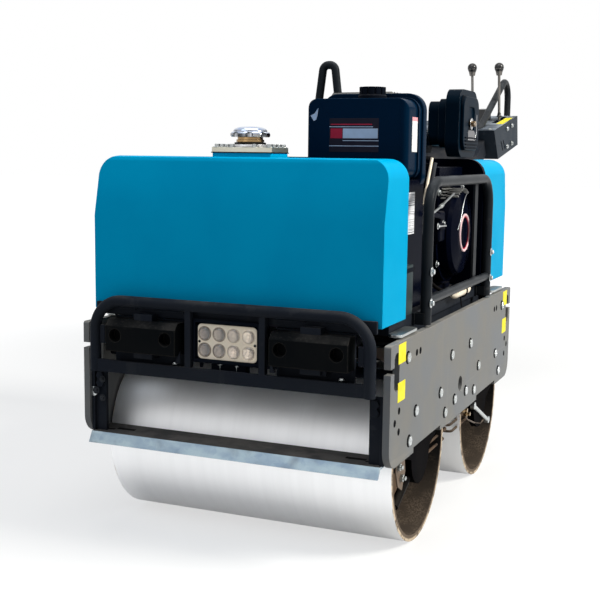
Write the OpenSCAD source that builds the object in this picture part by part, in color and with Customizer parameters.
// Walk behind vibratory roller: two smooth steel drums in a rigid lower frame with a central
// exciter, an upper deck on rubber isolators with engine and tanks, and a folding steering handle.
// Millimetres. +X is the machine's side with the starter, +Y points back to the operator, +Z is up.
// Places are written from the middle of the wheelbase on the ground; in_frame() moves them so that
// the origin lies under the centre of the bounding box.

/* [Drums] */
// Outer diameter of a drum
drum_d = 405; // [380:5:420]
// Width of a drum
drum_w = 700; // [650:5:720]
// Gap between the two drums
drum_gap = 170; // [155:5:215]
// Wall of a drum
drum_wall = 14; // [10:1:18]
// Thickness of a drum's inner web
web_t = 16; // [10:1:22]
// Depth of a web's outer face inside the drum's end
web_depth = 90; // [80:5:110]
// Outer diameter of the hub tube
hub_d = 120; // [100:5:130]
// Inner diameter of the hub tube, the bearing seat
hub_bore_d = 90; // [70:5:94]
// Diameter of the stub axle
axle_d = 50; // [40:2:60]
// Width of a hub bearing
bearing_w = 24; // [16:2:28]

/* [Side plates] */
// Thickness of a side plate
plate_t = 15; // [12:1:20]
// Gap from the drum's end to the side plate
plate_gap = 4; // [3:1:8]
// Distance from a drum's axle out to the side plate's end
plate_overhang = 282.5; // [272.5:2.5:300]
// Rise of the plate's lower edge above the axles
plate_rise = 29.5; // [22.5:1:35.5]
// Height of a side plate
plate_h = 264; // [256:1:272]
// Radius of the plate's lower corners
plate_corner_r = 45; // [25:5:60]
// Radius of the plate's upper corners
plate_top_r = 6; // [2:1:12]
// Rise of the relief over each drum
relief_rise = 12; // [6:1:16]
// Length of the relief over each drum
relief_len = 217; // [180:5:240]
// Width of the tie-down slot
tie_slot_w = 34; // [28:1:38]
// Height of the tie-down slot
tie_slot_h = 83; // [70:1:88]
// Height of the entry to the tie-down slot
tie_entry_h = 12; // [8:1:16]
// Distance from the plate's end to the tie-down slot
tie_edge = 24; // [18:1:30]
// Distance from the plate's top edge to the tie-down slot
tie_drop = 19; // [14:1:24]
// Diameter of the hole at the exciter
centre_hole_d = 39; // [30:1:44]
// Rise of the exciter shaft above the plate's lower edge
exciter_rise = 79; // [73:1:84]

/* [Fasteners] */
// Diameter of the frame bolts
bolt_d = 14; // [12:1:16]
// Width across the flats of a frame bolt's head
bolt_af = 24; // [21:1:27]
// Height of a frame bolt's head
bolt_head_h = 9; // [7:1:11]
// Diameter of a frame bolt's washer
washer_d = 30; // [28:1:34]
// Thickness of a frame bolt's washer
washer_t = 3; // [2:0.5:4]
// Diameter of the accessory holes
small_hole_d = 11; // [9:1:13]
// Width across the flats of the small bolts
small_af = 17; // [13:1:19]

/* [Exciter] */
// Outer diameter of the exciter housing
exciter_d = 140; // [125:5:150]
// Wall of the exciter housing
exciter_wall = 10; // [7:1:14]
// Thickness of the exciter housing's end flange
flange_t = 10; // [8:1:14]
// Diameter of the exciter shaft
shaft_d = 35; // [30:1:40]
// Diameter of the eccentric weights
weight_d = 96; // [80:2:104]
// Length of an eccentric weight
weight_len = 120; // [80:5:130]

/* [Deck] */
// Distance from the side plate's end in to the deck's end
deck_setback = 100; // [90:5:120]
// Distance from the side plate's inner face in to the deck's side
deck_side_gap = 24; // [14:2:34]
// Thickness of the deck plate
deck_t = 6; // [5:1:8]
// Height of the deck's side rails
rail_h = 28; // [24:1:36]
// Width of the deck's side rails
rail_w = 40; // [30:5:50]
// Height of the rubber isolators
isolator_h = 26; // [22:1:32]
// Diameter of the rubber isolators
isolator_d = 60; // [50:5:64]
// Distance from the plate's top edge down to the isolator shelf
shelf_drop = 22; // [18:1:28]

/* [Tanks] */
// Reach of both tanks' sides beyond the deck's side
tank_reach = 14; // [6:1:18]
// Height of both tanks
tank_h = 344; // [330:2:360]
// Depth of the water tank
front_depth = 159; // [150:1:170]
// Depth of the rear tank
rear_depth = 289; // [270:1:300]
// Distance from the side plate's front end back to the water tank
front_setback = 13; // [8:1:20]
// Distance from the rear tank's face back to the side plate's rear end
rear_overhang = 2; // [0:1:8]
// Height of the upright part of a tank's end face
tank_break = 211; // [190:1:230]
// Lean of the upper part of a tank's end face
tank_lean = 28; // [20:1:36]
// Radius of a tank's upper side corners
tank_corner_r = 45; // [30:1:60]
// Sheet thickness of the tanks
tank_wall = 4; // [3:0.5:6]

/* [Filler] */
// Width of the filler plate
filler_w = 192; // [170:2:200]
// Depth of the filler plate
filler_depth = 104; // [96:2:112]
// Thickness of the filler plate
filler_t = 12; // [8:1:14]
// Height of the collar under the filler plate
filler_collar_h = 10; // [6:1:14]
// Diameter of the filler neck
neck_d = 56; // [50:2:60]
// Height of the filler neck
neck_h = 21; // [16:1:26]
// Diameter of the filler cap
cap_d = 90; // [80:2:94]
// Height of the filler cap's rim
cap_h = 20; // [16:1:24]

/* [Bumper] */
// Diameter of the bumper tube
hoop_d = 25; // [22:1:30]
// Distance of the bumper hoop's outer side in from a tank's side
bumper_inset = 3; // [0:1:12]
// Height of the bumper hoop's top above the side plate's foot
bumper_rise = 331; // [324:1:338]
// Height of the bumper's lower bar above the side plate's foot
bumper_bar_rise = 156; // [150:1:162]
// Height of the lower bar
bar_h = 28; // [24:1:34]
// Bend radius of the bumper hoop, on its centre line
bumper_bend = 68; // [50:1:80]
// Distance from the side plate's end to the bumper tube's centre
bumper_reach = 12; // [8:1:18]
// Gap from a rubber block to the post beside the lamp
block_in_gap = 16; // [10:1:24]
// Gap from a rubber block to the bumper hoop's leg
block_out_gap = 28; // [20:1:36]
// Height of a rubber block
block_h = 71; // [60:1:76]
// Height of a rubber block's lower edge above the side plate's foot
block_rise = 208; // [202:1:214]
// Distance of a block's face ahead of the side plate's end
block_reach = 35; // [28:1:40]
// Diameter of the screw recesses in a block
block_recess_d = 30; // [22:1:34]

/* [Work lamp] */
// Width of the lamp
lamp_w = 164; // [150:2:168]
// Height of the lamp
lamp_h = 87; // [80:1:92]
// Depth of the lamp housing
lamp_depth = 44; // [36:1:52]
// Height of the lamp's lower edge above the side plate's foot
lamp_rise = 199; // [194:1:204]
// Diameter of one lamp lens
lens_d = 30; // [26:1:32]

/* [Scrapers] */
// Thickness of a scraper
scraper_t = 6; // [4:1:8]
// Height of the scraper's flange above the side plate's foot
scraper_rise = 4; // [1:0.5:8]
// Clearance from a scraper's edge to the drum
scraper_gap = 1; // [1:0.5:3]
// Depth of the scraper's lip below its flange
lip_drop = 24; // [18:1:30]
// Reach of the scraper's lip outward
lip_reach = 13; // [8:1:18]
// Width of a scraper hanger
hanger_w = 34; // [28:1:40]
// Height of a scraper hanger
hanger_h = 143; // [120:1:150]
// Thickness of a scraper hanger
hanger_t = 8; // [6:1:10]

/* [Guards] */
// Diameter of the guard tube
guard_d = 25; // [22:1:28]
// Distance between the legs of a guard
guard_len = 582; // [560:2:600]
// Height of a guard above the deck plate
guard_h = 306; // [290:2:320]
// Bend radius of a guard, on its centre line
guard_bend = 70; // [50:5:90]
// Gap from a tank's side to a guard's tube
guard_gap = 1.5; // [1:0.5:6]
// Height of the lower rail of a guard above the deck plate
guard_rail_z = 27; // [22:1:34]
// Width of the flat bar in a guard
guard_bar_w = 30; // [24:1:36]

/* [Engine] */
// Place of the crankshaft along the machine
crank_y = 130; // [120:1:140]
// Height of the crankshaft above the deck plate
crank_h = 155; // [150:1:160]
// Width of the crankcase
case_w = 200; // [180:2:210]
// Depth of the crankcase
case_depth = 230; // [220:2:236]
// Height of the crankcase
case_h = 240; // [220:2:250]
// Distance of the crankcase's middle in from the deck's side
case_inset = 170; // [167:1:175]
// Width of the cylinder
barrel_w = 130; // [120:2:140]
// Height of the cylinder with its fins
barrel_h = 130; // [110:2:140]
// Height of the rocker cover
rocker_h = 46; // [36:1:56]
// Depth of the fan cowl
cowl_t = 34; // [28:1:40]
// Diameter of the starter cover
starter_d = 224; // [210:2:230]
// Depth of the starter cover
starter_t = 40; // [34:1:44]
// Diameter of the plain ring on the starter cover
ring_d = 95; // [80:1:104]

/* [Fuel tank] */
// Width of the fuel tank
fuel_w = 244; // [230:2:256]
// Depth of the fuel tank
fuel_depth = 135; // [125:1:145]
// Height of the fuel tank
fuel_h = 175; // [160:1:185]
// Distance of the fuel tank's front face behind the water tank
fuel_back = 103; // [98:1:115]
// Distance of the fuel tank's middle in from the deck's side
fuel_inset = 146; // [140:1:154]
// Height of the fuel tank's underside above the deck plate
fuel_z = 297; // [290:1:305]
// Diameter of the fuel cap
fuel_cap_d = 61; // [54:1:68]
// Height of the fuel cap
fuel_cap_h = 22; // [18:1:28]

/* [Air cleaner and exhaust] */
// Place of the air cleaner's axis along the machine
cleaner_y = 195; // [188:1:202]
// Height of the air cleaner's axis above the deck plate
cleaner_h = 437; // [430:1:444]
// Size of the air cleaner's bowl along the machine
cleaner_len = 190; // [176:2:200]
// Height of the air cleaner's bowl
bowl_h = 173; // [160:1:180]
// Depth of the air cleaner's bowl
bowl_t = 36; // [30:1:40]
// Diameter of the muffler
muffler_d = 92; // [80:2:96]
// Length of the muffler
muffler_w = 150; // [130:5:160]
// Distance of the muffler's axis ahead of the crankshaft
muffler_ahead = 200; // [190:2:210]
// Height of the muffler's axis above the deck plate
muffler_z = 470; // [460:2:480]

/* [Hydraulics] */
// Diameter of the drive pump's flange
pump_flange_d = 150; // [130:5:160]
// Length of the drive pump's body
pump_len = 120; // [100:5:130]
// Length of the auxiliary gear pump
gear_pump_len = 60; // [50:5:70]
// Diameter of a travel motor
motor_d = 110; // [96:2:120]
// Length of a travel motor
motor_len = 80; // [60:2:82]
// Diameter of the hydraulic lines
line_d = 14; // [12:1:18]
// Diameter of the spray bars
spray_d = 22; // [18:1:26]

/* [Lifting bow] */
// Diameter of the lifting bow's bar
bow_d = 21; // [18:1:24]
// Distance between the legs of the lifting bow
bow_w = 63; // [56:1:70]
// Height of the lifting bow above the deck plate
bow_h = 590; // [560:5:600]
// Lean of each leg of the lifting bow at its top
bow_lean = 16; // [8:1:18]

/* [Handle] */
// Height of the handle's pivot above the deck plate
pivot_h = 62; // [56:1:70]
// Distance of the handle's pivot behind the side plate's end
pivot_reach = 80; // [76:1:90]
// Diameter of the handle's pivot pin
pivot_d = 24; // [20:1:28]
// Slope of the drawbar at work, in degrees
drawbar_slope = 29; // [26:0.5:31]
// Distance between the middles of the drawbar's arms
arm_gauge = 200; // [170:2:210]
// Width of a drawbar arm
arm_w = 40; // [30:1:44]
// Height of a drawbar arm
arm_h = 60; // [50:1:64]
// Length of the drawbar arms from the pivot
arm_len = 720; // [700:5:740]
// Width of the console
console_w = 320; // [300:2:340]
// Length of the console's top
console_len = 395; // [370:5:410]
// Height of the console
console_h = 112; // [100:1:120]
// Tilt of the console's top, in degrees
console_tilt = 9.6; // [8:0.1:12]
// Rake of the console's front panel
console_rake = 60; // [40:1:70]
// Sheet thickness of the console
console_wall = 4; // [3:0.5:6]
// Distance of the console's front edge ahead of the arms' ends
console_lap = 84.7; // [74.7:1:94.7]
// Rise of the console's front top edge above the arms' ends
console_lift = 35; // [30:1:42]
// Diameter of the hand bow's tube
hand_tube_d = 25; // [22:1:28]
// Distance of the hand bow from the centre
hand_x = 92; // [86:1:94]
// Reach of the hand bow behind the console's front edge
hand_reach = 516; // [500:1:530]
// Rise of the hand bow's upper corner above that edge
hand_rise = 239; // [230:1:245]
// Bend radius of the hand bow, on its centre line
hand_bend_r = 65; // [55:1:70]

/* [Levers] */
// Diameter of a lever's rod
lever_d = 10; // [8:1:12]
// Length of a lever's rod above the console
lever_len = 166; // [150:2:190]
// Diameter of a lever's knob
knob_d = 34; // [28:1:38]
// Distance of the travel lever from the centre
lever_x = 115; // [112:1:120]
// Distance between the two levers
lever_gap = 102; // [85:1:106]
// Length of a lever's slot in the console's top
lever_slot_len = 180; // [150:5:190]

/* [Hidden] */
$fn = 64;

// Overrun of every cut past the face that it opens
cut = 2;
// Running clearance of a shaft in its bearing, per side
run_gap = 0.05;
// Gap between curved or moving faces that face each other
seat_gap = 0.3;
// Clearance of a bolt in its hole, per side
hole_gap = 1;

// Drum places
drum_r = drum_d / 2;
bore_r = drum_r - drum_wall;
wheelbase = drum_d + drum_gap;
axle_y = wheelbase / 2;
plate_in = drum_w / 2 + plate_gap;
plate_out = plate_in + plate_t;
plate_foot = drum_r + plate_rise;
plate_top = plate_foot + plate_h;
plate_len = wheelbase + 2 * plate_overhang;
plate_end = plate_len / 2;
exciter_z = plate_foot + exciter_rise;
web_x = drum_w / 2 - web_depth;

// Axle carriers inside the drums' ends
carrier_t = 16;
carrier_gap = 4.2;
carrier_r = bore_r - carrier_gap;
carrier_in = plate_in - carrier_t;
carrier_boss_r = 70;
carrier_neck_z = 40;

// Bolts of a side plate, on the carriers as shares of their radius from the axle and on the
// exciter housing as shares of the plate's length and height
carrier_bolt_shares = [[0.543, 0.665], [0.787, 0.353]];
frame_bolt_shares = [[0.0807, 0.636], [0.0482, 0.189]];
carrier_bolts = carrier_r * carrier_bolt_shares;
frame_bolts = [for (p = frame_bolt_shares) [p[0] * plate_len, plate_foot + p[1] * plate_h]];
corner_bolt_drop = 41;
corner_bolt_share = 0.278;

// Heights of the upper frame
shelf_z = plate_top - shelf_drop;
rail_z = shelf_z + isolator_h;
deck_z = rail_z + rail_h;
tank_top = deck_z + tank_h;
deck_len = plate_len - 2 * deck_setback;
deck_w = 2 * (plate_in - deck_side_gap);
tank_w = deck_w + 2 * tank_reach;
isolator_setback = 40;
isolator_y = deck_len / 2 - isolator_setback;
isolator_x = deck_w / 2 - rail_w / 2;
shelf_t = 8;
bracket_len = 90;
corner_bolt_y = isolator_y + bracket_len * corner_bolt_share;
corner_bolt_z = plate_top - corner_bolt_drop;

// Fore and aft places of the tanks
front_tank_y = -plate_end + front_setback;
rear_tank_y = plate_end + rear_overhang;
filler_share = 0.58;
filler_y = front_tank_y + front_depth * filler_share;
filler_z = tank_top + filler_collar_h;
neck_z = filler_z + filler_t;
cap_z = neck_z + neck_h + seat_gap;

// Engine places
crank_z = deck_z + crank_h;
case_z = deck_z;
case_top = case_z + case_h;
barrel_top = case_top + barrel_h;
case_r = 20;
case_x = deck_w / 2 - case_inset;
case_in = case_x - case_w / 2;
case_out = case_x + case_w / 2;
cowl_x = case_out;
starter_x = cowl_x + cowl_t;
bell_len = 70;
pump_body_w = 112;
pump_flange_t = 16;

// Fuel tank places
fuel_y = front_tank_y + front_depth + fuel_back;
fuel_x = deck_w / 2 - fuel_inset;
fuel_foot = deck_z + fuel_z;
fuel_r = 26;
stand_t = 6;

// Handle places, along and across the drawbar
pivot_y = plate_end + pivot_reach;
pivot_z = deck_z + pivot_h;
arm_x = arm_gauge / 2;
ear_t = 12;
ear_x = arm_x + arm_w / 2 + seat_gap;
tie_t = 8;
tie_len = 120;
console_y = pivot_y + arm_len * cos(drawbar_slope) - console_lap;
console_z = pivot_z + arm_len * sin(drawbar_slope) + console_lift;
console_flare = 5;
base_u = console_len + console_flare;
lever_u = 278;
lever_pivot_w = 60;
stop_u = 62;
stop_r = 10;

// The hand bow's corners, behind and above the console's front top edge
hand_start = 24;
hand_sink = 12;
hand_foot = 10;
hand_corners = [[hand_start, -hand_sink], [hand_reach, hand_rise], [hand_reach, hand_foot],
    [console_len, hand_foot]];

// Heights on the front, and the front and rear ends of the machine
bumper_top = plate_foot + bumper_rise;
bumper_foot = plate_foot + bumper_bar_rise;
block_z = plate_foot + block_rise;
lamp_z = plate_foot + lamp_rise;
scraper_z = plate_foot + scraper_rise;
block_face_y = -plate_end - block_reach;
handle_end_y = console_y + hand_reach + hand_tube_d / 2;
origin_y = -(block_face_y + handle_end_y) / 2;

// The children and their mirror image on the left side
module both_sides() {
    for (m = [0, 1]) mirror([m, 0, 0]) children();
}

// Moves the machine so that the origin lies under the centre of its box
module in_frame() {
    translate([0, origin_y, 0]) children();
}

// Extrudes an outline drawn in Y and Z along X, from x on
module along_x(x, t) {
    translate([x, 0, 0]) rotate([90, 0, 90]) linear_extrude(t) children();
}

// Extrudes an outline drawn in X and Z along Y, from y on
module along_y(y, t) {
    translate([0, y + t, 0]) rotate([90, 0, 0]) linear_extrude(t) children();
}

// Cylinder along X from x on
module rod_x(x, y, z, r, len) {
    translate([x, y, z]) rotate([0, 90, 0]) cylinder(r = r, h = len);
}

// Ring along X from x on
module ring_x(x, y, z, r_out, r_in, len) {
    translate([x, y, z]) rotate([0, 90, 0]) difference() {
        cylinder(r = r_out, h = len);
        translate([0, 0, -cut]) cylinder(r = r_in, h = len + 2 * cut);
    }
}

// Rectangle with its lower corner at the origin and round corners
module round_square(size, r) {
    translate([r, 0]) square([size[0] - 2 * r, size[1]]);
    translate([0, r]) square([size[0], size[1] - 2 * r]);
    for (x = [r, size[0] - r], y = [r, size[1] - r]) translate([x, y]) circle(r);
}

// Box centred on X and Y, standing on z = 0, with round upright edges
module round_box(size, r) {
    translate([-size[0] / 2, -size[1] / 2, 0]) linear_extrude(size[2])
        round_square([size[0], size[1]], r);
}

function unit(v) = v / norm(v);
function bend_angle(a, b, c) = acos(min(1, max(-1, unit(b - a) * unit(c - b))));
function bend_cut(a, b, c, r) = r * tan(bend_angle(a, b, c) / 2);

// Round bar along a path of corners with round bends
module bent_bar(points, d, r) {
    last = len(points) - 1;
    for (i = [0:last - 1]) {
        way = unit(points[i + 1] - points[i]);
        start = i == 0 ? 0 : bend_cut(points[i - 1], points[i], points[i + 1], r);
        end = i == last - 1 ? 0 : bend_cut(points[i], points[i + 1], points[i + 2], r);
        straight = norm(points[i + 1] - points[i]) - start - end;
        translate(points[i] + way * start)
            rotate([0, acos(way[2]), atan2(way[1], way[0])]) cylinder(d = d, h = straight);
        if (i < last - 1) bar_bend(points[i], points[i + 1], points[i + 2], d, r);
    }
}

// One bend of a round bar, at the middle one of three corners
module bar_bend(a, b, c, d, r) {
    way = unit(b - a);
    inward = unit(unit(c - b) - way * (unit(c - b) * way));
    side = cross(-inward, way);
    from = b - way * bend_cut(a, b, c, r) + inward * r;
    multmatrix([[-inward[0], way[0], side[0], from[0]],
                [-inward[1], way[1], side[1], from[1]],
                [-inward[2], way[2], side[2], from[2]]])
        rotate_extrude(angle = bend_angle(a, b, c)) translate([r, 0]) circle(d = d);
}

// Places and directions round one bend
function bend_path(a, b, c, r, steps) =
    let (way = unit(b - a), next = unit(c - b), turn = bend_angle(a, b, c),
        inward = unit(next - way * (next * way)),
        centre = b - way * bend_cut(a, b, c, r) + inward * r)
    [for (i = [0:steps]) let (q = turn * i / steps)
        [centre + r * (way * sin(q) - inward * cos(q)), way * cos(q) + inward * sin(q)]];

// Places and directions along a path of corners with round bends
function round_path(points, r, steps) =
    let (last = len(points) - 1)
    concat([[points[0], unit(points[1] - points[0])]],
        [for (i = [1:last - 1]) each bend_path(points[i - 1], points[i], points[i + 1], r, steps)],
        [[points[last], unit(points[last] - points[last - 1])]]);

// Vector square to the way and nearest to u
function square_to(u, way) = unit(u - way * (u * way));

// Bar along a path of corners in any direction, as one closed mesh
module swept_bar(points, d, r, sides, steps) {
    path = round_path(points, r, steps);
    first = path[0][1];
    start = square_to(abs(first[2]) > 0.9 ? [1, 0, 0] : [0, 0, 1], first);
    ups = [for (i = 0, u = start; i < len(path);
        i = i + 1, u = i < len(path) ? square_to(u, path[i][1]) : u) u];
    rings = [for (i = [0:len(path) - 1], k = [0:sides - 1])
        let (q = 360 * k / sides, u = ups[i], v = cross(path[i][1], ups[i]))
        path[i][0] + d / 2 * (u * cos(q) + v * sin(q))];
    last = (len(path) - 1) * sides;
    walls = [for (i = [0:len(path) - 2], k = [0:sides - 1])
        let (a = i * sides + k, b = i * sides + (k + 1) % sides)
        each [[a, a + sides, b], [b, a + sides, b + sides]]];
    polyhedron(rings, concat([[for (k = [0:sides - 1]) k]], walls,
        [[for (k = [sides - 1:-1:0]) last + k]]));
}

// Hexagon bolt head with its washer, pointing along +X from x
module hex_head_x(x, y, z) {
    rod_x(x, y, z, washer_d / 2, washer_t);
    translate([x + washer_t, y, z]) rotate([0, 90, 0])
        cylinder(d = bolt_af / cos(30), h = bolt_head_h, $fn = 6);
}

// All places of frame bolts on one side plate
function plate_bolt_places() = concat(
    [for (s = [-1, 1], t = [-1, 1], p = carrier_bolts) [s * axle_y + t * p[0], drum_r + p[1]]],
    [for (s = [-1, 1], p = frame_bolts) [s * p[0], p[1]]],
    [for (s = [-1, 1]) [s * corner_bolt_y, corner_bolt_z]]);

// Accessory holes near a plate's end, measured from its end and foot
hole_back = 62;
hole_low = 73;
hole_pitch = 45;
hole_edge = 34;
hole_mid = 97;
hole_far = 181;
hole_high = 223;
hole_step = 27;
hole_places = [[hole_back, hole_low + hole_pitch], [hole_back, hole_low],
    [hole_edge, hole_mid], [hole_far, hole_high], [hole_far + hole_step, hole_high]];
slot_flat = 0.25;

// Outline of a side plate, seen from the side
module plate_outline() {
    tie_y = plate_end - tie_edge - tie_slot_w;
    tie_z = plate_top - tie_drop - tie_slot_h;
    difference() {
        union() {
            translate([-plate_end, plate_foot + plate_corner_r])
                square([plate_len, plate_h - plate_corner_r - plate_top_r]);
            translate([-plate_end + plate_corner_r, plate_foot])
                square([plate_len - 2 * plate_corner_r, plate_corner_r]);
            translate([-plate_end + plate_top_r, plate_top - plate_top_r])
                square([plate_len - 2 * plate_top_r, plate_top_r]);
            for (s = [-1, 1]) {
                translate([s * (plate_end - plate_corner_r), plate_foot + plate_corner_r])
                    circle(plate_corner_r);
                translate([s * (plate_end - plate_top_r), plate_top - plate_top_r])
                    circle(plate_top_r);
            }
        }
        for (s = [-1, 1]) {
            translate([s * axle_y - relief_len / 2, plate_foot - cut])
                square([relief_len, relief_rise + cut]);
            translate([s * (tie_y + tie_slot_w / 2) - tie_slot_w / 2, tie_z])
                round_square([tie_slot_w, tie_slot_h], (tie_slot_w - slot_flat) / 2);
            translate([s * (plate_end - tie_edge / 2) - tie_edge / 2 - cut,
                tie_z + (tie_slot_h - tie_entry_h) / 2 + tie_entry_h / 2])
                square([tie_edge + 2 * cut, tie_entry_h]);
            for (p = hole_places)
                translate([s * (plate_end - p[0]), plate_foot + p[1]]) circle(d = small_hole_d);
        }
        translate([0, exciter_z]) circle(d = centre_hole_d);
        for (p = plate_bolt_places()) translate(p) circle(d = bolt_d + 2 * hole_gap);
    }
}

module side_plates() {
    color("dimgray") in_frame() for (x = [plate_in, -plate_out])
        along_x(x, plate_t) plate_outline();
}

// Hexagon bolts of both side plates, with washers and shanks
module plate_bolts() {
    color("silver") in_frame() both_sides()
        for (p = plate_bolt_places()) {
            hex_head_x(plate_out, p[0], p[1]);
            rod_x(plate_in, p[0], p[1], bolt_d / 2, plate_t);
        }
}

// End flange of the exciter housing, narrow between the drums
module exciter_flange_outline() {
    foot_z = frame_bolts[1][1] - bolt_af;
    head_z = frame_bolts[0][1] + bolt_af;
    difference() {
        polygon([[-frame_bolts[1][0] - bolt_af, foot_z], [frame_bolts[1][0] + bolt_af, foot_z],
            [frame_bolts[0][0] + bolt_af, head_z], [-frame_bolts[0][0] - bolt_af, head_z]]);
        translate([0, exciter_z]) circle(d = exciter_d - 2 * exciter_wall);
    }
}

module exciter_housing() {
    flange_x = plate_in - flange_t;
    color("dimgray") in_frame() {
        for (x = [flange_x, -plate_in]) along_x(x, flange_t) exciter_flange_outline();
        ring_x(-flange_x, 0, exciter_z, exciter_d / 2, exciter_d / 2 - exciter_wall, 2 * flange_x);
    }
}

// Bearing places on the exciter shaft, as shares of the drum's width
exciter_bearing_shares = [-0.271, 0.086, 0.428];
bearing_x = drum_w * exciter_bearing_shares;
race_w = 28;
seat_r = exciter_d / 2 - exciter_wall - seat_gap;

module exciter_bearings() {
    color("silver") in_frame() for (x = bearing_x)
        ring_x(x, 0, exciter_z, seat_r, shaft_d / 2 + run_gap, race_w);
}

vibrator_len = 100;
vibrator_x = -plate_in + flange_t;

module vibration_motor() {
    color("dimgray") in_frame() {
        rod_x(vibrator_x, 0, exciter_z, seat_r - flange_t, vibrator_len);
        rod_x(vibrator_x + vibrator_len, 0, exciter_z, seat_r, flange_t);
    }
}

// Shaft with two half-round eccentric weights
module exciter_shaft() {
    start_x = vibrator_x + vibrator_len + flange_t + seat_gap;
    end_x = bearing_x[2] + race_w + flange_t;
    weights_x = [(bearing_x[0] + race_w + bearing_x[1]) / 2,
        (bearing_x[1] + race_w + bearing_x[2]) / 2];
    color("slategray") in_frame() {
        rod_x(start_x, 0, exciter_z, shaft_d / 2, end_x - start_x);
        for (x = weights_x) difference() {
            rod_x(x - weight_len / 2, 0, exciter_z, weight_d / 2, weight_len);
            translate([x - weight_len / 2 - cut, -weight_d / 2, exciter_z])
                cube([weight_len + 2 * cut, weight_d, weight_d]);
        }
    }
}

// Outline of an axle carrier: a fan from the bolts down to the boss
module carrier_outline() {
    intersection() {
        circle(carrier_r, $fn = 96);
        union() {
            circle(carrier_boss_r);
            polygon([[-carrier_boss_r, 0], [carrier_boss_r, 0], [carrier_r, carrier_neck_z],
                [carrier_r, carrier_r], [-carrier_r, carrier_r], [-carrier_r, carrier_neck_z]]);
        }
    }
}

// Two carriers of one drum; the left one has the stub axle
module axle_carriers(y) {
    axle_len = carrier_in - web_x + bearing_w + web_t;
    color("dimgray") in_frame() both_sides() translate([0, y, drum_r]) {
        along_x(carrier_in, carrier_t) carrier_outline();
        if (m == 1) rod_x(carrier_in - axle_len, 0, 0, axle_d / 2, axle_len);
    }
}

module front_axle_carriers() {
    axle_carriers(-axle_y);
}

module rear_axle_carriers() {
    axle_carriers(axle_y);
}

module drum_shell(y) {
    color("silver") in_frame() translate([-drum_w / 2, y, drum_r]) rotate([0, 90, 0])
        rotate_extrude($fn = 128) translate([bore_r, 0]) square([drum_wall, drum_w]);
}

module front_drum_shell() {
    drum_shell(-axle_y);
}

module rear_drum_shell() {
    drum_shell(axle_y);
}

// Spool inside a drum: two webs on a hub tube, closed at the driven end
module drum_hub(y) {
    hub_end = web_x + bearing_w / 2;
    color("saddlebrown") in_frame() translate([0, y, drum_r]) rotate([0, -90, 0]) difference() {
        union() {
            for (x = [-web_x, web_x - web_t])
                translate([0, 0, x]) cylinder(r = bore_r - seat_gap, h = web_t, $fn = 96);
            translate([0, 0, -hub_end]) cylinder(d = hub_d, h = 2 * hub_end);
        }
        translate([0, 0, -web_x + web_t]) cylinder(d = hub_bore_d, h = 2 * hub_end);
    }
}

module front_drum_hub() {
    drum_hub(-axle_y);
}

module rear_drum_hub() {
    drum_hub(axle_y);
}

// Two roller bearings between the hub and the stub axle
module drum_bearings(y) {
    outer_x = web_x + bearing_w / 2 - bearing_w;
    color("silver") in_frame() for (x = [outer_x, outer_x - bearing_w - bearing_w / 4])
        ring_x(-x - bearing_w, y, drum_r, hub_bore_d / 2 - seat_gap, axle_d / 2 + run_gap,
            bearing_w);
}

module front_drum_bearings() {
    drum_bearings(-axle_y);
}

module rear_drum_bearings() {
    drum_bearings(axle_y);
}

// Travel motor between the right carrier and the drum's closed web
module travel_motor(y) {
    step_len = motor_len / 4;
    room = carrier_in - web_x - bearing_w / 2;
    body_len = min(motor_len, room) - step_len;
    color("dimgray") in_frame() {
        rod_x(carrier_in - body_len, y, drum_r, motor_d / 2, body_len);
        rod_x(carrier_in - room + seat_gap, y, drum_r, motor_d / 3, room - body_len - seat_gap);
    }
}

module front_travel_motor() {
    travel_motor(-axle_y);
}

module rear_travel_motor() {
    travel_motor(axle_y);
}

// Manifold block under the exciter housing and its steel lines, two into the end of each drum
manifold_w = 40;
manifold_x = web_x + motor_len / 3;
manifold_z = exciter_z - exciter_d / 2 - seat_gap;
line_pitch = line_d * 1.5;
line_z = drum_r - line_d / 2;
manifold_half = 2 * line_pitch + line_d / 4;
manifold_foot = line_z - line_pitch - line_d;

module travel_lines() {
    line_out = plate_in + line_d / 2 + seat_gap;
    edge_x = manifold_x + manifold_w / 2;
    motor_r = motor_d / 2;
    color("silver") in_frame() {
        for (s = [-1, 1], k = [0, 1]) {
            drop = k * line_pitch;
            z = line_z - drop;
            side = abs(z - drum_r) - line_d / 2;
            start_y = s * (line_d + drop);
            end_y = s * (axle_y - motor_r - 2 * line_d);
            tip_y = s * (axle_y - sqrt(motor_r * motor_r - side * side) - seat_gap);
            swept_bar([[edge_x, start_y, z], [line_out, start_y, z], [line_out, end_y, z],
                [manifold_x, end_y, z], [manifold_x, tip_y, z]], line_d, line_d, 10, 4);
        }
        translate([manifold_x - manifold_w / 2, -manifold_half, manifold_foot])
            cube([manifold_w, 2 * manifold_half, manifold_z - manifold_foot]);
    }
}

// Two hoses from the drive pump through the deck and past the exciter housing to the manifold
hose_d = 16;
hose_bend = 30;
hose_deck_gap = 5;
hose_run_z = 465;
hose_side_y = 92;
hose_low_z = 285;
hose_entry_z = 226;
hose_port_inset = 19;
hose_port_x = case_in - bell_len - pump_flange_t - hose_port_inset;
hose_port_pitch = 40;
hose_spread = 25;
hose_ports = [hose_port_x, hose_port_x - hose_port_pitch];
hose_port_y = [crank_y - hose_spread, crank_y + hose_spread];

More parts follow.
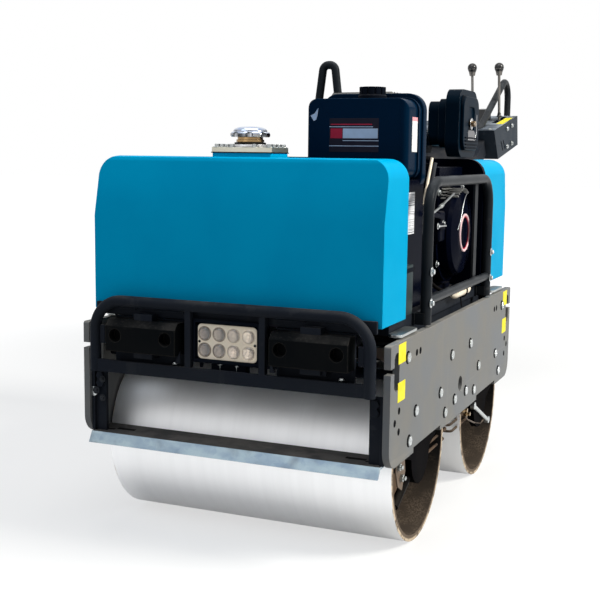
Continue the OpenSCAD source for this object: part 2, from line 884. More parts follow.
module hydraulic_hoses() {
    color("black") in_frame() for (k = [0, 1]) {
        s = k == 0 ? 1 : -1;
        side_y = s * hose_side_y;
        entry_y = s * (manifold_half + seat_gap);
        swept_bar([[hose_ports[k], hose_port_y[k], crank_z - pump_body_w / 2 - seat_gap],
            [hose_ports[k], hose_port_y[k], hose_run_z - k * 2 * hose_d],
            [manifold_x, side_y, hose_run_z - k * 2 * hose_d], [manifold_x, side_y, hose_low_z],
            [manifold_x, s * (manifold_half + hose_bend / 2), hose_entry_z],
            [manifold_x, entry_y, hose_entry_z]], hose_d, hose_d, 10, 4);
    }
}

// Angle brackets inside the side plates' corners, with the isolator shelf
module corner_brackets() {
    upright = shelf_z - block_z;
    shelf_in = isolator_x - isolator_d / 2;
    color("saddlebrown") in_frame() for (m = [0, 1], s = [-1, 1]) mirror([m, 0, 0])
        translate([0, s * isolator_y - bracket_len / 2, 0]) {
            translate([shelf_in, 0, shelf_z - shelf_t])
                cube([plate_in - shelf_in, bracket_len, shelf_t]);
            translate([plate_in - shelf_t, 0, shelf_z - shelf_t - upright])
                cube([shelf_t, bracket_len, upright]);
            for (k = [0, bracket_len - shelf_t]) translate([0, k + shelf_t, 0]) rotate([90, 0, 0])
                linear_extrude(shelf_t) polygon([[plate_in - shelf_t, shelf_z - shelf_t],
                    [plate_in - shelf_t, shelf_z - shelf_t - upright], [shelf_in, shelf_z - shelf_t]]);
        }
}

module rubber_isolators() {
    waist = isolator_d / 10;
    color("black") in_frame() for (x = [-1, 1], y = [-1, 1])
        translate([x * isolator_x, y * isolator_y, shelf_z]) rotate_extrude()
            polygon([[0, 0], [isolator_d / 2, 0], [isolator_d / 2, isolator_h / 6],
                [isolator_d / 2 - waist, isolator_h / 3],
                [isolator_d / 2 - waist, isolator_h * 2 / 3],
                [isolator_d / 2, isolator_h * 5 / 6], [isolator_d / 2, isolator_h], [0, isolator_h]]);
}

// Deck plate on two channel rails with end and middle cross members
module deck() {
    rail_in = deck_w / 2 - rail_w;
    rail_wall = deck_t;
    member_y = [-deck_len / 2, -rail_w / 2, deck_len / 2 - rail_w];
    color("dimgray") in_frame() {
        difference() {
            translate([-deck_w / 2, -deck_len / 2, deck_z - deck_t])
                cube([deck_w, deck_len, deck_t]);
            for (k = [0, 1]) translate([hose_ports[k], hose_port_y[k], deck_z - deck_t - cut])
                cylinder(d = hose_d + 2 * hose_deck_gap, h = deck_t + 2 * cut);
        }
        both_sides() difference() {
            translate([rail_in, -deck_len / 2, rail_z]) cube([rail_w, deck_len, rail_h - deck_t]);
            translate([rail_in - cut, -deck_len / 2 + 2 * isolator_d, rail_z + rail_wall])
                cube([rail_w - rail_wall + cut, deck_len - 4 * isolator_d, rail_h]);
        }
        for (y = member_y) translate([-rail_in, y, rail_z])
            cube([2 * rail_in, rail_w, rail_h - deck_t]);
    }
}

// Side view of a tank, its leaning end face at y = 0
module tank_side(depth) {
    edge = tank_corner_r / 4;
    polygon([[0, 0], [depth, 0], [depth, tank_h], [tank_lean + edge, tank_h],
        [tank_lean + edge / 4, tank_h - edge / 4], [tank_lean - edge / 8, tank_h - edge],
        [0, tank_break]]);
}

// Front view of a tank with its round upper corners
module tank_front(inset) {
    r = tank_corner_r - inset;
    half = tank_w / 2 - inset;
    top = tank_h - inset;
    translate([-half, inset]) square([2 * half, top - r - inset]);
    translate([-half + r, inset]) square([2 * (half - r), top - inset]);
    for (s = [-1, 1]) translate([s * (half - r), top - r]) circle(r);
}

// Closed sheet tank, hollow inside
module tank(depth) {
    inner = depth - 2 * tank_wall;
    difference() {
        intersection() {
            along_x(-tank_w / 2, tank_w) tank_side(depth);
            along_y(-cut, depth + 2 * cut) tank_front(0);
        }
        along_y(tank_lean + tank_wall, inner - tank_lean) tank_front(tank_wall);
        intersection() {
            along_y(tank_wall, inner) tank_front(tank_wall);
            translate([-tank_w / 2, 0, 0]) cube([tank_w, depth, tank_break - tank_wall]);
        }
    }
}

module water_tank() {
    color("deepskyblue") in_frame() {
        translate([0, front_tank_y, deck_z]) tank(front_depth);
        translate([0, filler_y, tank_top])
            round_box([filler_w - 2 * tank_wall, filler_depth, filler_collar_h],
                tank_wall);
    }
}

module rear_tank() {
    color("deepskyblue") in_frame() translate([0, rear_tank_y, deck_z]) mirror([0, 1, 0])
        tank(rear_depth);
}

// Bolted plate around the filler neck
module filler_plate() {
    edge = bolt_af / 2;
    screw_d = filler_t;
    color("silver") in_frame() translate([0, filler_y, filler_z]) {
        round_box([filler_w, filler_depth, filler_t], filler_t);
        for (x = [-2:2], y = [-1, 1])
            translate([x * (filler_w / 2 - edge) / 2, y * (filler_depth / 2 - edge),
                filler_t]) cylinder(d = screw_d, h = screw_d / 2, $fn = 6);
        for (x = [-1, 1]) translate([x * (filler_w / 2 - edge), 0, filler_t])
            cylinder(d = screw_d, h = screw_d / 2, $fn = 6);
    }
}

module filler_neck() {
    lip_h = neck_h / 4;
    color("goldenrod") in_frame() translate([0, filler_y, neck_z]) {
        cylinder(d = neck_d, h = neck_h);
        translate([0, 0, neck_h - 2 * lip_h]) cylinder(d = neck_d + lip_h, h = lip_h);
    }
}

// Shares of the filler cap's diameter and height at each step of its dome
cap_dome_shares = [[0.74, 0.5], [0.66, 0.78], [0.5, 1], [0.26, 1.15]];

// Filler cap: a scalloped skirt under a stepped dome
module filler_cap() {
    scallops = 8;
    scallop_r = cap_d / 9;
    color("lightgray") in_frame() translate([0, filler_y, cap_z]) {
        difference() {
            cylinder(d = cap_d, h = cap_h * cap_dome_shares[0][1]);
            for (i = [0:scallops - 1]) rotate(i * 360 / scallops)
                translate([(cap_d + scallop_r) / 2, 0, -cut])
                    cylinder(r = scallop_r, h = cap_h + 2 * cut);
        }
        rotate_extrude() polygon(concat([[0, 0]],
            [for (p = cap_dome_shares) [p[0] * cap_d / 2, p[1] * cap_h]],
            [[0, cap_dome_shares[3][1] * cap_h]]));
    }
}

// Bumper: hoop, lower angle bar, two posts, carrier plates of the blocks and arms to the deck
bumper_y = -plate_end - bumper_reach;
bumper_leg_x = (tank_w - hoop_d) / 2 - bumper_inset;
bar_t = 8;
post_w = 14;
post_x = lamp_w / 2 + post_w / 2;
block_from = post_x + post_w / 2 + block_in_gap;
block_w = bumper_leg_x - hoop_d / 2 - block_out_gap - block_from;
block_x = block_from + block_w / 2;
tab_w = 45;
tab_h = 14;
backplate_t = 8;
backplate_y = -plate_end + backplate_t;

module bumper_frame() {
    leg_foot = bumper_foot;
    axis_top = bumper_top - hoop_d / 2;
    arm_front = backplate_y + backplate_t;
    color("dimgray") in_frame() {
        bent_bar([[-bumper_leg_x, bumper_y, leg_foot], [-bumper_leg_x, bumper_y, axis_top],
            [bumper_leg_x, bumper_y, axis_top], [bumper_leg_x, bumper_y, leg_foot]],
            hoop_d, bumper_bend);
        translate([-bumper_leg_x, bumper_y - bar_t, bumper_foot])
            cube([2 * bumper_leg_x, bar_t, bar_h]);
        translate([-bumper_leg_x, bumper_y, bumper_foot])
            cube([2 * bumper_leg_x, 3 * bar_h / 2, bar_t]);
        for (s = [-1, 1]) {
            translate([s * post_x - post_w / 2, bumper_y - post_w / 2, bumper_foot + bar_h])
                cube([post_w, post_w, axis_top - bumper_foot - bar_h]);
            translate([s * block_x - block_w / 2, backplate_y, bumper_foot])
                cube([block_w, backplate_t, block_h + 2 * tab_h + bar_h]);
            translate([s * block_x - post_w / 2, arm_front, rail_z - 2 * rail_h])
                cube([post_w, -deck_len / 2 - arm_front, 3 * rail_h - deck_t]);
            for (z = [block_z - tab_h, block_z + block_h])
                translate([s * block_x - tab_w / 2, bumper_y - bar_t, z])
                    cube([tab_w, backplate_y - bumper_y + bar_t, tab_h]);
        }
    }
}

// Rubber blocks with a sloped upper edge and two screw recesses each
module rubber_blocks() {
    depth = backplate_y - block_face_y;
    slope = block_h / 5;
    recess_x = block_w * 0.36;
    color("black") in_frame() for (s = [-1, 1]) translate([s * block_x, 0, block_z]) difference() {
        along_x(-block_w / 2, block_w) polygon([[block_face_y, 0], [backplate_y, 0],
            [backplate_y, block_h], [block_face_y + slope, block_h],
            [block_face_y, block_h - slope]]);
        for (t = [-1, 1]) translate([t * recess_x, block_face_y + depth / 2, block_h / 2])
            rotate([90, 0, 0]) cylinder(d = block_recess_d, h = depth / 2 + cut);
    }
}

lamp_face_y = -plate_end - bumper_reach / 2;
lamp_rim = 8;
lamp_rows = [-1, 1];
lamp_columns = [-1.5, -0.5, 0.5, 1.5];
lens_pitch_x = 35;
lens_pitch_z = 33;

// Lamp with a raised bezel, a finned back and its foot on the lower bar
module lamp_housing() {
    fins = 7;
    fin_t = lamp_w / 40;
    foot_w = lamp_w / 2;
    color("black") in_frame() {
        difference() {
            translate([-lamp_w / 2, 0, lamp_z]) along_y(lamp_face_y, lamp_depth)
                round_square([lamp_w, lamp_h], lamp_rim);
            translate([-lamp_w / 2 + lamp_rim, 0, lamp_z + lamp_rim])
                along_y(lamp_face_y - cut, lamp_rim / 2 + cut)
                    round_square([lamp_w - 2 * lamp_rim, lamp_h - 2 * lamp_rim], lamp_rim / 2);
        }
        for (i = [0:fins - 1])
            translate([-lamp_w / 2 + lamp_rim + i * (lamp_w - 2 * lamp_rim - fin_t) / (fins - 1),
                lamp_face_y + lamp_depth, lamp_z + lamp_rim])
                cube([fin_t, lamp_rim, lamp_h - 2 * lamp_rim]);
        translate([-foot_w / 2, lamp_face_y + lamp_rim, bumper_foot + bar_t])
            cube([foot_w, lamp_depth / 2, lamp_z - bumper_foot - bar_t]);
    }
}

// Eight round lenses on one cream reflector plate
module lamp_lenses() {
    sheet = lamp_rim / 2;
    color("antiquewhite") in_frame() translate([0, lamp_face_y + sheet, lamp_z + lamp_h / 2]) {
        translate([-lamp_w / 2 + lamp_rim + seat_gap, 0, -lamp_h / 2 + lamp_rim + seat_gap])
            along_y(-sheet / 2, sheet / 2) round_square([lamp_w - 2 * lamp_rim - 2 * seat_gap,
                lamp_h - 2 * lamp_rim - 2 * seat_gap], lamp_rim / 2);
        for (x = lamp_columns, z = lamp_rows)
            translate([x * lens_pitch_x, -sheet / 2, z * lens_pitch_z / 2]) rotate([90, 0, 0])
                cylinder(d1 = lens_d, d2 = lens_d * 0.8, h = sheet);
    }
}

// Bent scraper: flat flange towards the drum and a lip outward and down
module scraper(s) {
    rise = drum_r - scraper_z - scraper_t / 2;
    edge_y = axle_y + sqrt(drum_r * drum_r - rise * rise) + scraper_gap;
    half = drum_w / 2;
    mirror([0, s > 0 ? 0 : 1, 0]) difference() {
        along_x(-half, 2 * half) polygon([[edge_y, scraper_z], [plate_end - scraper_t, scraper_z],
            [plate_end + lip_reach - scraper_t, scraper_z - lip_drop + scraper_t],
            [plate_end + lip_reach, scraper_z - lip_drop + scraper_t],
            [plate_end, scraper_z + scraper_t], [edge_y, scraper_z + scraper_t]]);
        for (x = [-1, 1]) translate([x * (half - 2 * hanger_w), (edge_y + plate_end) / 2,
            scraper_z - cut]) {
            cylinder(d = small_hole_d, h = scraper_t + 2 * cut);
            translate([-small_hole_d, -small_hole_d / 2, 0])
                cube([small_hole_d, small_hole_d, scraper_t + 2 * cut]);
            translate([-small_hole_d, 0, 0]) cylinder(d = small_hole_d, h = scraper_t + 2 * cut);
        }
    }
}

module front_scraper() {
    color("lightsteelblue") in_frame() scraper(-1);
}

module rear_scraper() {
    color("lightsteelblue") in_frame() scraper(1);
}

// Four angles that carry the scrapers on the side plates' inner faces
module scraper_hangers() {
    base = scraper_z + scraper_t;
    leg_y = plate_end - hole_places[0][0] + small_hole_d;
    leg_len = plate_end - leg_y - hanger_t;
    color("dimgray") in_frame() for (m = [0, 1], n = [0, 1]) mirror([m, 0, 0]) mirror([0, n, 0]) {
        translate([plate_in - hanger_t, leg_y, base]) cube([hanger_t, leg_len, hanger_h]);
        translate([plate_in - hanger_w, leg_y + leg_len - 2 * hanger_t, base])
            cube([hanger_w - hanger_t, hanger_t, hanger_h]);
        for (z = [0.78, 0.9]) translate([plate_in - hanger_w / 2 - hanger_t / 2,
            leg_y + leg_len - hanger_t, base + hanger_h * z]) rotate([-90, 0, 0])
            cylinder(d = small_af / cos(30), h = hanger_t, $fn = 6);
    }
}

// Water spray bars over the drums, from plate to plate, with their nozzles
module spray_bars() {
    nozzles = 5;
    bar_y = plate_end - tie_edge - tie_slot_w - rail_w;
    bar_z = bumper_foot + bar_h;
    color("black") in_frame() for (s = [-1, 1]) {
        rod_x(-plate_in, s * bar_y, bar_z, spray_d / 2, 2 * plate_in);
        for (i = [0:nozzles - 1])
            translate([(i - (nozzles - 1) / 2) * drum_w / (nozzles + 1), s * bar_y,
                bar_z - spray_d]) cylinder(d1 = spray_d / 3, d2 = spray_d / 2, h = spray_d);
    }
}

// Tubular guard with its lower rail, flat bar, and two feet on the deck's side
guard_x = tank_w / 2 + guard_gap + guard_d / 2;
guard_foot_gap = 6;

module guard() {
    leg_y = guard_len / 2;
    foot_z = plate_top + guard_foot_gap;
    axis_top = deck_z + guard_h - guard_d / 2;
    rail = deck_z + guard_rail_z;
    bar_y = crank_y + guard_d * 2;
    bar_x = guard_x - guard_d / 2;
    bent_bar([[guard_x, -leg_y, foot_z], [guard_x, -leg_y, axis_top],
        [guard_x, leg_y, axis_top], [guard_x, leg_y, foot_z]], guard_d, guard_bend);
    translate([guard_x, -leg_y, rail]) rotate([-90, 0, 0])
        cylinder(d = guard_d - 4 * hole_gap, h = 2 * leg_y);
    translate([bar_x, bar_y - guard_bar_w / 2, rail])
        cube([deck_t, guard_bar_w, axis_top - rail - guard_bar_w]);
    along_y(bar_y - guard_bar_w / 2, guard_bar_w) polygon([[bar_x, axis_top - guard_bar_w],
        [bar_x + deck_t, axis_top - guard_bar_w], [bar_x + deck_t, axis_top],
        [bar_x + deck_t - guard_d / 4, axis_top]]);
    for (y = [-leg_y, leg_y]) translate([0, y, 0]) {
        translate([deck_w / 2, -guard_bar_w / 2, rail_z]) cube([deck_t, guard_bar_w, rail_h]);
        for (t = [-1, 1]) translate([deck_w / 2, t * guard_bar_w / 3 - deck_t / 2, foot_z])
            cube([guard_x - deck_w / 2, deck_t, deck_z - foot_z]);
    }
}

module guard_right() {
    color("dimgray") in_frame() guard();
}

module guard_left() {
    color("dimgray") in_frame() mirror([1, 0, 0]) guard();
}

// Crankcase on its feet, finned cylinder and head
module engine_block() {
    fins = 7;
    pitch = barrel_h / fins;
    foot_t = deck_t * 2;
    color("black") in_frame() translate([case_x, crank_y, case_z]) {
        round_box([case_w + case_r, case_depth, foot_t], case_r / 2);
        translate([0, 0, foot_t]) round_box([case_w, case_depth, case_h - foot_t], case_r);
        translate([0, 0, case_h]) cylinder(d = barrel_w * 0.8, h = barrel_h);
        for (i = [0:fins - 1]) translate([0, 0, case_h + i * pitch + pitch / 2])
            round_box([barrel_w, barrel_w, pitch / 2], case_r);
    }
}

module rocker_cover() {
    color("black") in_frame() translate([case_x, crank_y, barrel_top]) {
        round_box([barrel_w, barrel_w, rocker_h / 3], rocker_h / 4);
        translate([0, 0, rocker_h / 3])
            round_box([barrel_w * 0.8, barrel_w * 0.8, rocker_h * 2 / 3], rocker_h / 3);
    }
}

// Fan cowl: round about the crankshaft, drawn up to the cylinder, with louvre slots
module fan_cowl() {
    slots = 6;
    rim = cowl_t / 2;
    top = barrel_top - rocker_h - crank_z;
    half = starter_d / 2 + rim;
    slot_h = cowl_t / 6;
    louvre_z = starter_d / 3;
    color("black") in_frame() translate([0, crank_y, crank_z]) difference() {
        union() {
            rod_x(cowl_x, 0, 0, half, cowl_t);
            along_x(cowl_x, cowl_t) polygon([[-half, 0], [half, 0], [half * 0.86, top],
                [-half * 0.86, top]]);
        }
        for (i = [0:slots - 1]) translate([cowl_x + cowl_t / 2, -half * 0.8,
            louvre_z + i * 2 * slot_h]) cube([cowl_t, half * 0.8, slot_h]);
    }
}

// Round starter cover with a stepped dome and a plain ring groove
module starter_cover() {
    r = starter_d / 2;
    step = starter_t / 5;
    ring_t = step * 0.6;
    color("black") in_frame() translate([starter_x, crank_y, crank_z]) rotate([0, 90, 0])
        rotate_extrude($fn = 96) difference() {
            polygon([[0, 0], [r, 0], [r, starter_t * 0.55], [r - step, starter_t * 0.8],
                [ring_d / 2 + 2 * step, starter_t], [0, starter_t]]);
            translate([ring_d / 2 - step, starter_t - ring_t]) square([step, ring_t + cut]);
        }
}

// Moulded fuel tank with round edges and a filler shoulder
module fuel_tank() {
    shoulder = fuel_r / 2;
    color("black") in_frame() translate([fuel_x, fuel_y + fuel_depth / 2, fuel_foot]) {
        intersection() {
            round_box([fuel_w, fuel_depth, fuel_h], fuel_r / 2);
            translate([-fuel_w / 2, 0, 0]) along_y(-fuel_depth, 2 * fuel_depth)
                round_square([fuel_w, fuel_h], fuel_r);
        }
        translate([fuel_cap_x - fuel_x, 0, fuel_h])
            cylinder(d = fuel_cap_d * 0.8, h = shoulder - seat_gap);
    }
}

fuel_cap_offset = 14;
fuel_cap_x = fuel_x + fuel_cap_offset;
fuel_cap_z = fuel_foot + fuel_h + fuel_r / 2;

module fuel_cap() {
    ribs = 12;
    color("black") in_frame() translate([fuel_cap_x, fuel_y + fuel_depth / 2, fuel_cap_z])
        difference() {
            cylinder(d = fuel_cap_d, h = fuel_cap_h);
            for (i = [0:ribs - 1]) rotate(i * 360 / ribs)
                translate([fuel_cap_d / 2, 0, -cut])
                    cylinder(d = fuel_cap_h / 4, h = fuel_cap_h + 2 * cut);
        }
}

// Folded stand that carries the fuel tank over the deck
module fuel_tank_stand() {
    window_w = fuel_w / 2;
    window_h = fuel_z / 2;
    color("dimgray") in_frame() translate([fuel_x, fuel_y, deck_z]) {
        for (x = [-fuel_w / 2, fuel_w / 2 - stand_t]) translate([x, 0, 0])
            cube([stand_t, fuel_depth, fuel_z]);
        translate([-fuel_w / 2, 0, fuel_z - stand_t]) cube([fuel_w, fuel_depth, stand_t]);
        difference() {
            translate([-fuel_w / 2, 0, 0]) cube([fuel_w, stand_t, fuel_z]);
            translate([-window_w / 2, -cut, window_h / 2])
                cube([window_w, stand_t + 2 * cut, window_h]);
        }
    }
}

// Inline fuel filter under the guard's lower rail, with hose tails and a tie
filter_d = 34;
filter_len = 66;
filter_y = 66;
filter_tail = 22;

module fuel_filter() {
    z = deck_z + guard_rail_z - guard_d / 2 - filter_d / 2;
    x = deck_w / 2 + filter_d / 2 + seat_gap;
    color("antiquewhite") in_frame() translate([x, filter_y, z]) rotate([-90, 0, 0]) {
        translate([0, 0, -filter_len / 2]) cylinder(d = filter_d, h = filter_len);
        translate([0, 0, -filter_len / 2 - filter_tail])
            cylinder(d1 = filter_d / 4, d2 = filter_d * 0.8, h = filter_tail);
        translate([0, 0, filter_len / 2])
            cylinder(d1 = filter_d * 0.8, d2 = filter_d / 4, h = filter_tail);
    }
}

// Air cleaner: two necks along X, as shares of the bowl's length, height and depth, and the
// square bowl with round corners
cleaner_z = deck_z + cleaner_h;
cleaner_r = 40;
bowl_offset = 122;
bowl_x = case_x + bowl_offset;
neck_shares = [[0.68, 0.66, 1.5], [0.79, 0.73, 0.667]];
wing_span = 30;

// Outline of the air cleaner at a share of its bowl's size
module cleaner_outline(share_y, share_z) {
    w = cleaner_len * share_y;
    h = bowl_h * share_z;
    translate([cleaner_y - w / 2, cleaner_z - h / 2])
        round_square([w, h], cleaner_r * min(share_y, share_z));
}

module air_cleaner() {
    pipe_x = case_x + barrel_w / 2;
    pipe_d = rocker_h * 0.8;
    color("black") in_frame() {
        rod_x(pipe_x, crank_y, barrel_top + rocker_h / 2, pipe_d / 2,
            bowl_x - neck_shares[0][2] * bowl_t - pipe_x + cut);
        along_x(bowl_x, bowl_t) cleaner_outline(1, 1);
        for (n = neck_shares) along_x(bowl_x - n[2] * bowl_t, n[2] * bowl_t)
            cleaner_outline(n[0], n[1]);
    }
}

// Cover of the air cleaner with its sunk wing nut pocket
module air_cleaner_cover() {
    cover_t = bowl_t / 4;
    color("black") in_frame() difference() {
        along_x(bowl_x + bowl_t, cover_t) cleaner_outline(0.85, 0.8);
        along_x(bowl_x + bowl_t + cover_t / 2, cover_t) cleaner_outline(0.34, 0.5);
    }
}

module wing_nut() {
    nut_x = bowl_x + bowl_t + bowl_t / 8;
    color("goldenrod") in_frame() translate([nut_x, cleaner_y, cleaner_z]) {
        rod_x(0, 0, 0, wing_span / 4, wing_span / 2);
        translate([wing_span / 6, -wing_span / 2, -wing_span / 12])
            cube([wing_span / 3, wing_span, wing_span / 6]);
    }
}

// Muffler across the machine ahead of the cylinder head, with its pipe and tail
muffler_lead = 7.5;
muffler_tail = 35;

module muffler() {
    x = case_in - muffler_lead;
    y = crank_y - muffler_ahead;
    z = deck_z + muffler_z;
    pipe_d = muffler_d / 2.5;
    pipe_x = x + muffler_w / 2;
    port_z = barrel_top - barrel_h / 4;
    dome = muffler_d / 8;
    color("gray") in_frame() {
        rod_x(x, y, z, muffler_d / 2, muffler_w);
        for (m = [0, 1]) translate([m == 0 ? x : x + muffler_w, y, z])
            rotate([0, m == 0 ? -90 : 90, 0])
                cylinder(d1 = muffler_d, d2 = muffler_d * 0.7, h = dome);
        bent_bar([[pipe_x, crank_y - barrel_w / 2, port_z], [pipe_x, y, port_z],
            [pipe_x, y, z - muffler_d / 4]], pipe_d, pipe_d);
        translate([x + muffler_w - pipe_d, y, z + muffler_d / 4]) rotate([muffler_tail, 0, 0])
            cylinder(d = pipe_d * 0.8, h = muffler_d / 2);
    }
}

// Bell housing between the engine and the pump
module pump_bell() {
    color("dimgray") in_frame() translate([case_in, crank_y, crank_z]) rotate([0, -90, 0])
        cylinder(d1 = case_h * 0.75, d2 = pump_flange_d, h = bell_len);
}

// Drive pump with its flange, body, control block and the gear pump on its tail
module drive_pump() {
    flange_h = pump_flange_t;
    start_x = case_in - bell_len;
    body_w = pump_body_w;
    color("slategray") in_frame() translate([start_x, crank_y, crank_z]) {
        rod_x(-flange_h, 0, 0, pump_flange_d / 2, flange_h);
        translate([-flange_h - pump_len, -body_w / 2, -body_w / 2]) cube([pump_len, body_w, body_w]);
        translate([-flange_h - pump_len * 0.8, -body_w / 4, body_w / 2])
            cube([pump_len * 0.6, body_w / 2, body_w / 4]);
        rod_x(-flange_h - pump_len - gear_pump_len, 0, 0, body_w / 3, gear_pump_len);
    }
}

// Starter battery on the deck behind the water tank
battery_w = 70;
battery_len = 95;
battery_h = 110;

module battery() {
    edge = battery_w / 14;
    x = deck_w / 2 - battery_w / 2;
    y = front_tank_y + front_depth + battery_len / 2 + edge / 2;
    color("darkslategray") in_frame() translate([x, y, deck_z]) {
        round_box([battery_w, battery_len, battery_h], edge);
        for (s = [-1, 1]) translate([0, s * battery_len / 4, battery_h])
            cylinder(d = battery_w / 5, h = edge * 2);
    }
}

// Central lifting bow on its foot plate
module lifting_bow() {
    leg = bow_w / 2;
    foot_w = bow_w + 2 * bow_d;
    top = deck_z + bow_h - bow_d / 2;
    knee = top - 2 * bow_w;
    foot_z = deck_z + deck_t;
    color("dimgray") in_frame() {
        swept_bar([[-leg, 0, foot_z], [-leg, 0, knee], [-leg + bow_lean, 0, top],
            [leg - bow_lean, 0, top], [leg, 0, knee], [leg, 0, foot_z]], bow_d, leg - bow_lean,
            24, 8);
        translate([0, -bow_d, deck_z]) round_box([foot_w, 3 * bow_d, deck_t], bow_d / 2);
    }
}

// Two ears behind the deck for the drawbar's pivot, with the bar that it rests on
module handle_bracket() {
    ear_foot = rail_z - rail_h;
    ear_front = deck_len / 2;
    reach = pivot_y + pivot_d;
    ear_top = pivot_z + pivot_d;
    stop_y = stop_place()[0];
    stop_z = stop_place()[1];
    color("dimgray") in_frame() {
        for (s = [-1, 1]) difference() {
            along_x(s > 0 ? ear_x : -ear_x - ear_t, ear_t)
                polygon([[ear_front, ear_foot], [rear_tank_y + tank_wall, ear_foot],
                    [stop_y + 2 * stop_r, stop_z - 2 * stop_r], [stop_y + 2 * stop_r, stop_z],
                    [reach, ear_top], [pivot_y - pivot_d, ear_top],
                    [rear_tank_y + tank_wall, pivot_z], [rear_tank_y + tank_wall, deck_z - deck_t],
                    [ear_front, deck_z - deck_t]]);
            rod_x(-2 * ear_x, pivot_y, pivot_z, pivot_d / 2 + run_gap, 4 * ear_x);
        }
        rod_x(-ear_x, stop_y, stop_z, stop_r, 2 * ear_x);
        translate([-ear_x, ear_front, ear_foot])
            cube([2 * ear_x, ear_t, deck_z - deck_t - ear_foot]);
    }
}

// Place of the stop bar under the drawbar
function stop_place() = [
    pivot_y + stop_u * cos(drawbar_slope) + (arm_h / 2 + stop_r + seat_gap) * sin(drawbar_slope),
    pivot_z + stop_u * sin(drawbar_slope) - (arm_h / 2 + stop_r + seat_gap) * cos(drawbar_slope)];

module pivot_pin() {
    half = ear_x + ear_t + pivot_d / 4;
    color("silver") in_frame() {
        rod_x(-half, pivot_y, pivot_z, pivot_d / 2, 2 * half);
        for (x = [-half - pivot_d / 4, half]) rod_x(x, pivot_y, pivot_z, pivot_d * 0.7, pivot_d / 4);
    }
}

// Places children in the drawbar's frame, which runs back along the arms
module drawbar_frame() {
    translate([0, pivot_y, pivot_z]) rotate([drawbar_slope, 0, 0]) children();
}

// Two box arms with their ties, mitred on the console's front panel
module drawbar() {
    tie_back = console_rake;
    color("dimgray") in_frame() difference() {
        drawbar_frame() difference() {
            union() {
                for (s = [-1, 1]) translate([s * arm_x - arm_w / 2, 0, 0]) {
                    translate([0, 0, -arm_h / 2]) cube([arm_w, arm_len, arm_h]);
                    rod_x(0, 0, 0, arm_h / 2, arm_w);
                }
                for (v = [tie_len, arm_len - tie_len - tie_back])
                    translate([-arm_x + arm_w / 2, v, -tie_t / 2])
                        cube([2 * arm_x - arm_w, tie_len, tie_t]);
            }
            rod_x(-2 * arm_x, 0, 0, pivot_d / 2 + run_gap, 4 * arm_x);
        }
        console_frame() along_x(-console_w, 2 * console_w)
            polygon([[-console_rake, console_h], [2 * console_rake, -2 * console_h],
                [console_len, -2 * console_h], [console_len, console_h]]);
    }
}

// Places children in the console's frame, its front top edge at the origin
module console_frame() {
    translate([0, console_y, console_z]) rotate([console_tilt, 0, 0]) children();
}

// Side outline of the console, from its front top edge
module console_side(inset) {
    polygon([[inset, -inset], [console_len - inset, -inset],
        [base_u - inset, -console_h - cut * (inset > 0 ? 1 : 0)],
        [console_rake + inset, -console_h - cut * (inset > 0 ? 1 : 0)]]);
}

// Slanted slots in the console's right wall: start as shares of its length and height, and turn
side_slot_shares = [[0.273, 0.48, 51], [0.36, 0.49, 49]];
side_slot_len = 54;
side_slot_w = 9;

module side_slots() {
    for (p = side_slot_shares) translate([p[0] * console_len, -p[1] * console_h]) rotate(-p[2])
        translate([0, -side_slot_w / 2])
            round_square([side_slot_len, side_slot_w], (side_slot_w - slot_flat) / 2);
}

// Sheet console, open below, with two lever slots in its top
module console() {
    slot_w = lever_d * 2;
    color("dimgray") in_frame() console_frame() {
        difference() {
            along_x(-console_w / 2, console_w) console_side(0);
            along_x(-console_w / 2 + console_wall, console_w - 2 * console_wall)
                console_side(console_wall);
            for (x = [lever_x, lever_x - lever_gap])
                translate([x - slot_w / 2, lever_u - lever_slot_len / 2, -2 * console_wall])
                    cube([slot_w, lever_slot_len, 3 * console_wall]);
            along_x(console_w / 2 - 2 * console_wall, 3 * console_wall) side_slots();
        }
        for (s = [-1, 1], u = [0.55, 0.75], w = [0.2, 0.8])
            rod_x(s > 0 ? console_w / 2 : -console_w / 2 - console_wall, console_len * u,
                -console_h * w, small_af / 2, console_wall);
    }
}

// Hand bow from the console's top round to its rear panel, mitred on both
module hand_bow() {
    color("dimgray") in_frame() difference() {
        translate([hand_x, console_y, console_z])
            swept_bar([for (p = hand_corners) [0, p[0], p[1]]], hand_tube_d, hand_bend_r, 24, 12);
        console_frame() along_x(-console_w / 2, console_w) console_side(0);
    }
}

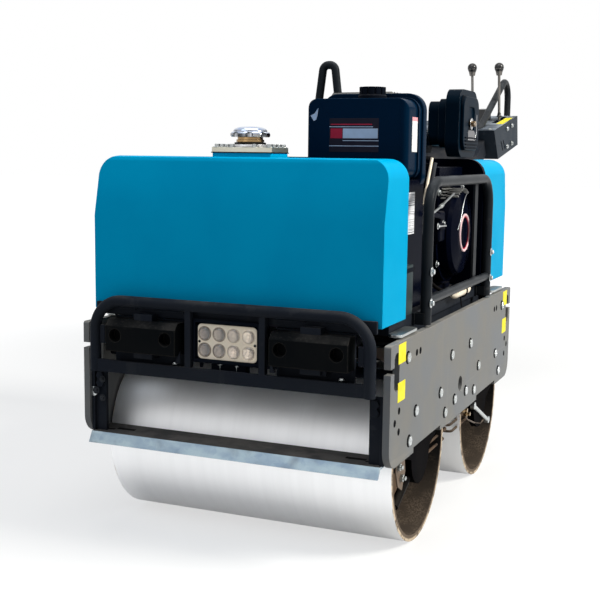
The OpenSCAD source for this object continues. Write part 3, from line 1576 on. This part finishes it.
// Cross shaft of both levers, between the console's side walls
module lever_shaft() {
    half = console_w / 2 - console_wall;
    color("silver") in_frame() console_frame()
        rod_x(-half, lever_u, -lever_pivot_w, lever_d / 2, 2 * half);
}

// Lever with its pivot boss inside the console and a pear-shaped knob
module lever(x) {
    boss = lever_d * 1.2;
    color("gainsboro") in_frame() console_frame() translate([x, lever_u, -lever_pivot_w]) {
        difference() {
            union() {
                rod_x(-boss, 0, 0, boss, 2 * boss);
                cylinder(d = lever_d, h = lever_pivot_w + lever_len);
            }
            rod_x(-2 * boss, 0, 0, lever_d / 2 + run_gap, 4 * boss);
        }
    }
    color("black") in_frame() console_frame()
        translate([x, lever_u, lever_len]) rotate_extrude() polygon([[0, 0], [lever_d, 0],
            [knob_d * 0.36, knob_d * 0.35], [knob_d / 2, knob_d * 0.8],
            [knob_d * 0.4, knob_d * 1.15], [knob_d * 0.2, knob_d * 1.3], [0, knob_d * 1.35]]);
}

module travel_lever() {
    lever(lever_x);
}

module throttle_lever() {
    lever(lever_x - lever_gap);
}

side_plates();
plate_bolts();
exciter_housing();
exciter_bearings();
vibration_motor();
exciter_shaft();
front_axle_carriers();
rear_axle_carriers();
front_drum_shell();
rear_drum_shell();
front_drum_hub();
rear_drum_hub();
front_drum_bearings();
rear_drum_bearings();
front_travel_motor();
rear_travel_motor();
travel_lines();
hydraulic_hoses();
corner_brackets();
rubber_isolators();
deck();
water_tank();
rear_tank();
filler_plate();
filler_neck();
filler_cap();
bumper_frame();
rubber_blocks();
lamp_housing();
lamp_lenses();
front_scraper();
rear_scraper();
scraper_hangers();
spray_bars();
guard_right();
guard_left();
engine_block();
fan_cowl();
starter_cover();
rocker_cover();
fuel_tank();
fuel_cap();
fuel_tank_stand();
fuel_filter();
air_cleaner();
air_cleaner_cover();
wing_nut();
muffler();
pump_bell();
drive_pump();
battery();
lifting_bow();
handle_bracket();
pivot_pin();
drawbar();
console();
hand_bow();
lever_shaft();
travel_lever();
throttle_lever();
